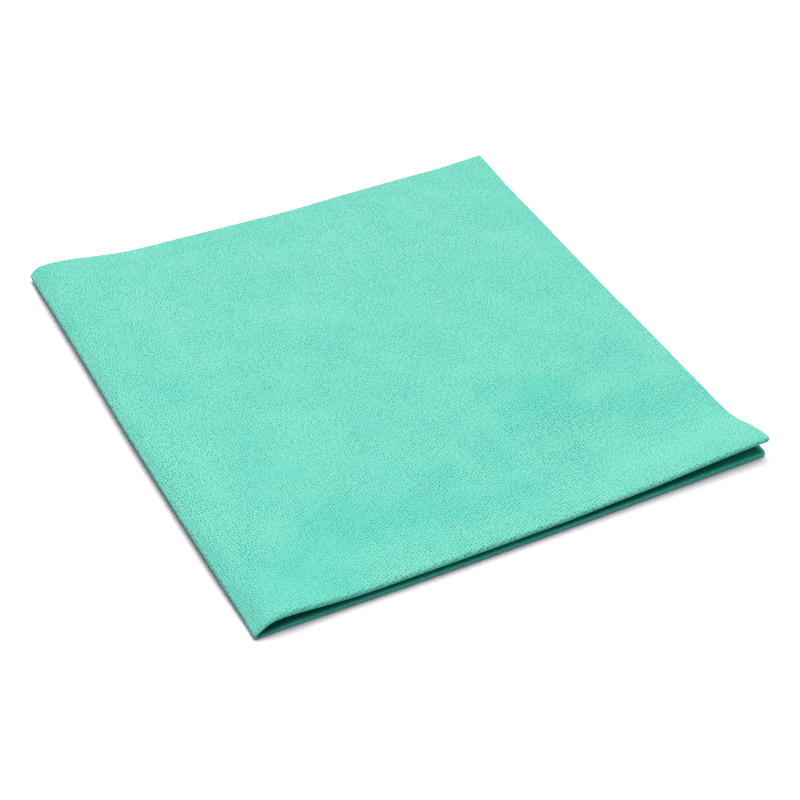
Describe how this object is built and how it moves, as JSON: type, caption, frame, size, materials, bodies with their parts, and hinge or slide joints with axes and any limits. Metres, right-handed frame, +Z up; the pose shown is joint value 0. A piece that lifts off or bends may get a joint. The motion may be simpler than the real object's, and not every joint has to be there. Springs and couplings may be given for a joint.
{
  "type": "microfibre cloth",
  "caption": "Square microfibre cleaning cloth folded into quarters and lying flat, sprung slightly open behind its left fold, with a front corner curling up.",
  "frame": {"origin": "middle of the cloth's bounding box, on the surface it rests on", "axes": "+X along the front crease from the left fold to the open right edge, +Y from the front crease to the open back edge, +Z up"},
  "size_m": [0.1932, 0.1922, 0.0088],
  "materials": {
    "cloth_fabric": "matt sea-green microfibre with a fine grain of small dimples"
  },
  "bodies": {
    "root": {"cloth": "cloth_fabric"}
  },
  "joints": []
}
